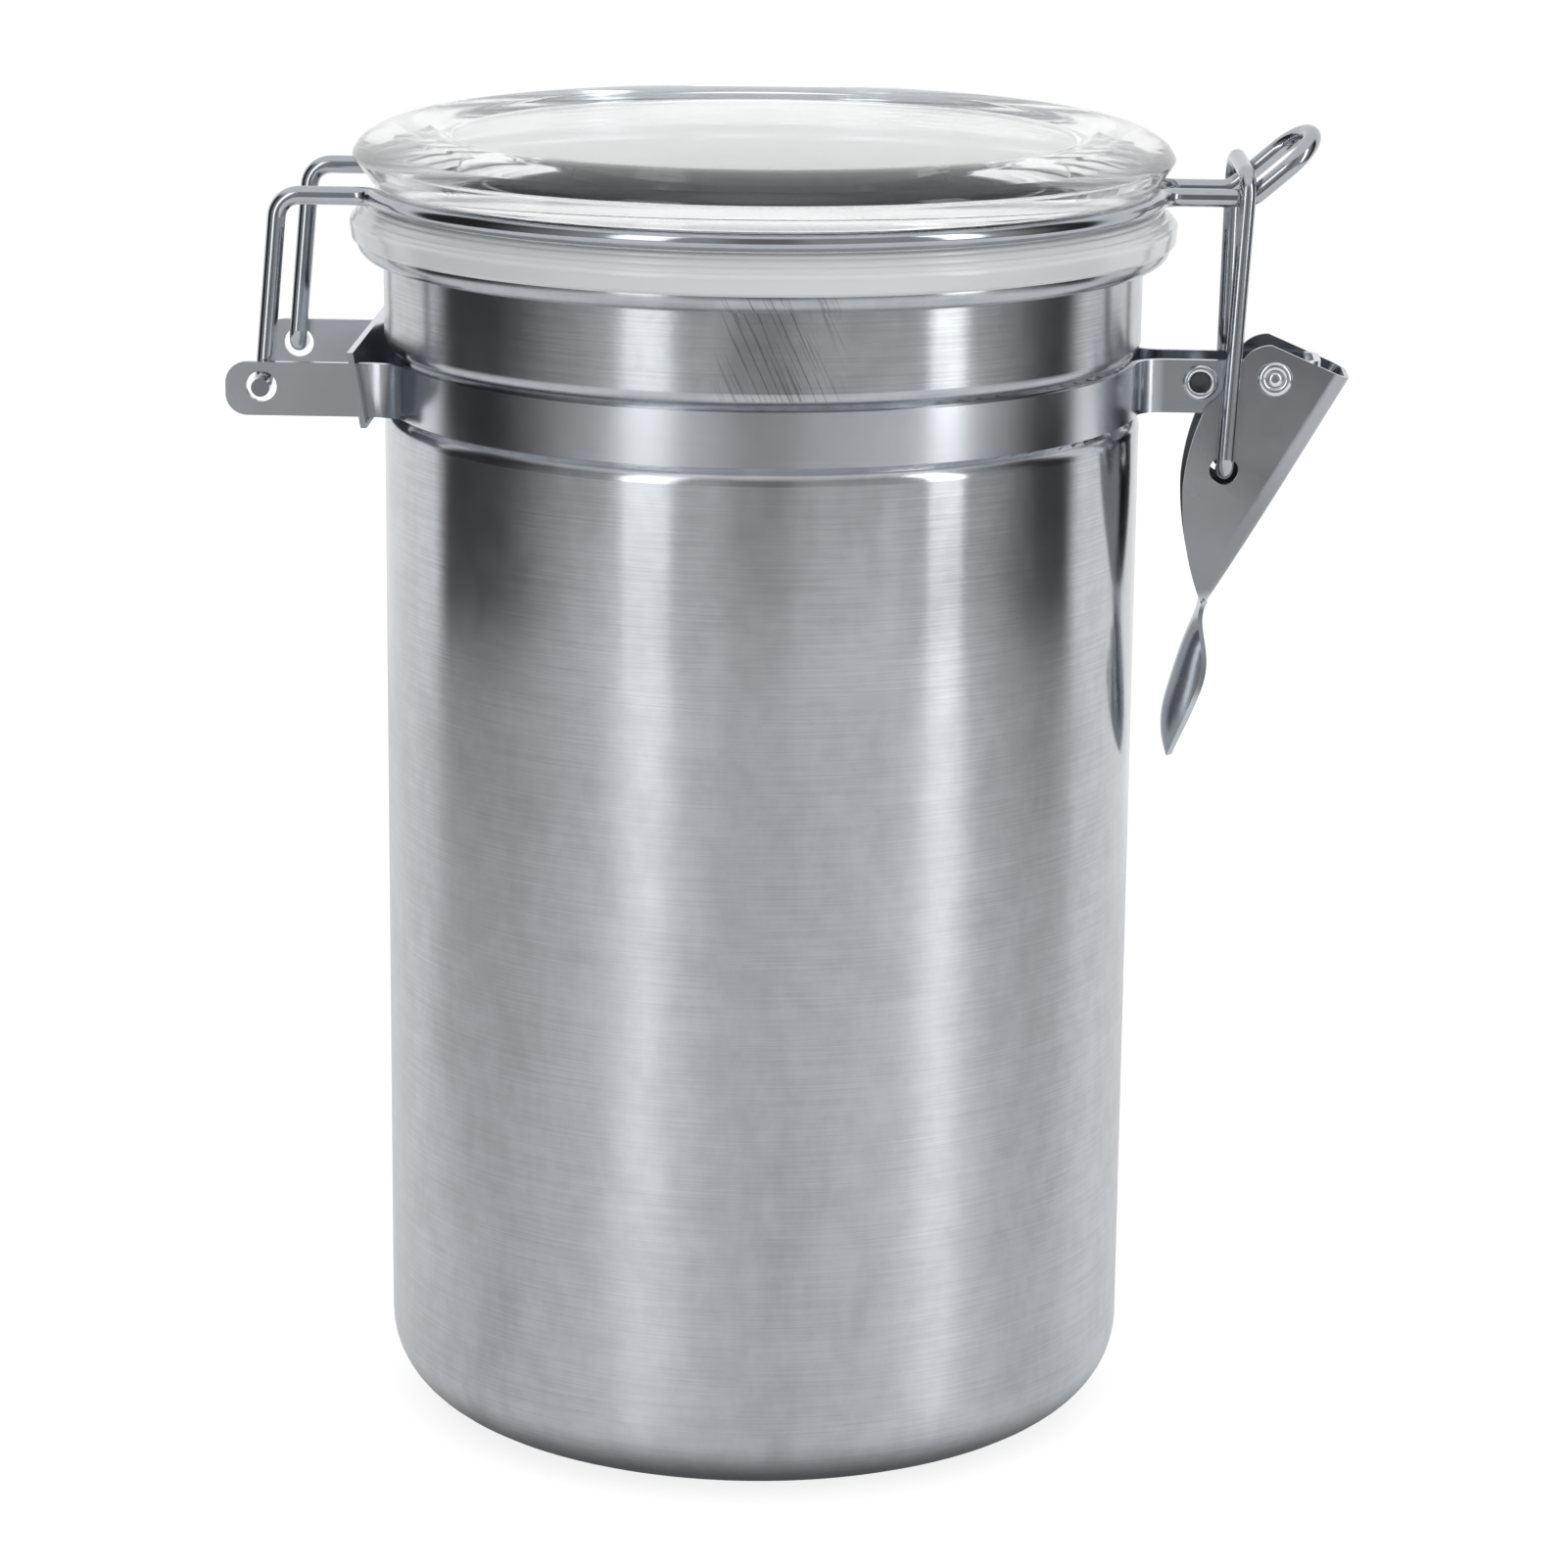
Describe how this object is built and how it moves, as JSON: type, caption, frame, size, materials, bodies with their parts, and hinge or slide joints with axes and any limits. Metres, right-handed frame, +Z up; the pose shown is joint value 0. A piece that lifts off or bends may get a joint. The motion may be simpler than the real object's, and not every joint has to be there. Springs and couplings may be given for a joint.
{
  "type": "food canister",
  "caption": "Round steel food canister with a clear hinged lid, soft seal, neck band, wire lid bail and a swing lever latch.",
  "frame": {"origin": "centre of the flat base, on the surface the canister stands on", "axes": "+Z up along the can's axis, +X from the hinge to the latch, -X to the hinge"},
  "size_m": [0.1462, 0.1088, 0.1742],
  "materials": {
    "body_steel": "horizontally brushed stainless steel",
    "band_steel": "lightly brushed stainless strip",
    "lever_steel": "satin pressed stainless sheet",
    "wire_steel": "bright drawn stainless wire",
    "rivet_steel": "bright steel",
    "clear_plastic": "clear polished plastic",
    "seal_silicone": "translucent white silicone"
  },
  "bodies": {
    "canister": {"canister_body": "body_steel", "neck_band": "band_steel", "hinge_keeper": "band_steel", "pivot_rivet": "rivet_steel", "tie_rivet": "rivet_steel"},
    "lid_assembly": {"lid": "clear_plastic", "gasket": "seal_silicone", "lid_wire": "wire_steel"},
    "lever": {"latch_lever": "lever_steel"},
    "bail": {"latch_bail": "wire_steel"}
  },
  "joints": [
    {"name": "lid_hinge", "type": "hinge", "parent": "canister", "child": "lid_assembly", "pos_m": [-0.0642, 0, 0.1406], "axis": [0, -1, 0], "range_deg": [0, 180]},
    {"name": "lever_pivot", "type": "hinge", "parent": "canister", "child": "lever", "pos_m": [0.0675, 0, 0.1416], "axis": [0, -1, 0], "range_deg": [0, 108]},
    {"name": "bail_pivot", "type": "hinge", "parent": "lever", "child": "bail", "pos_m": [0.0612, 0, 0.1293], "axis": [0, -1, 0], "range_deg": [-153, 0]}
  ],
  "couplings": [
    {"joint": "lever_pivot", "follows": "lid_hinge", "ratio": 0.6},
    {"joint": "bail_pivot", "follows": "lid_hinge", "ratio": -0.85}
  ]
}
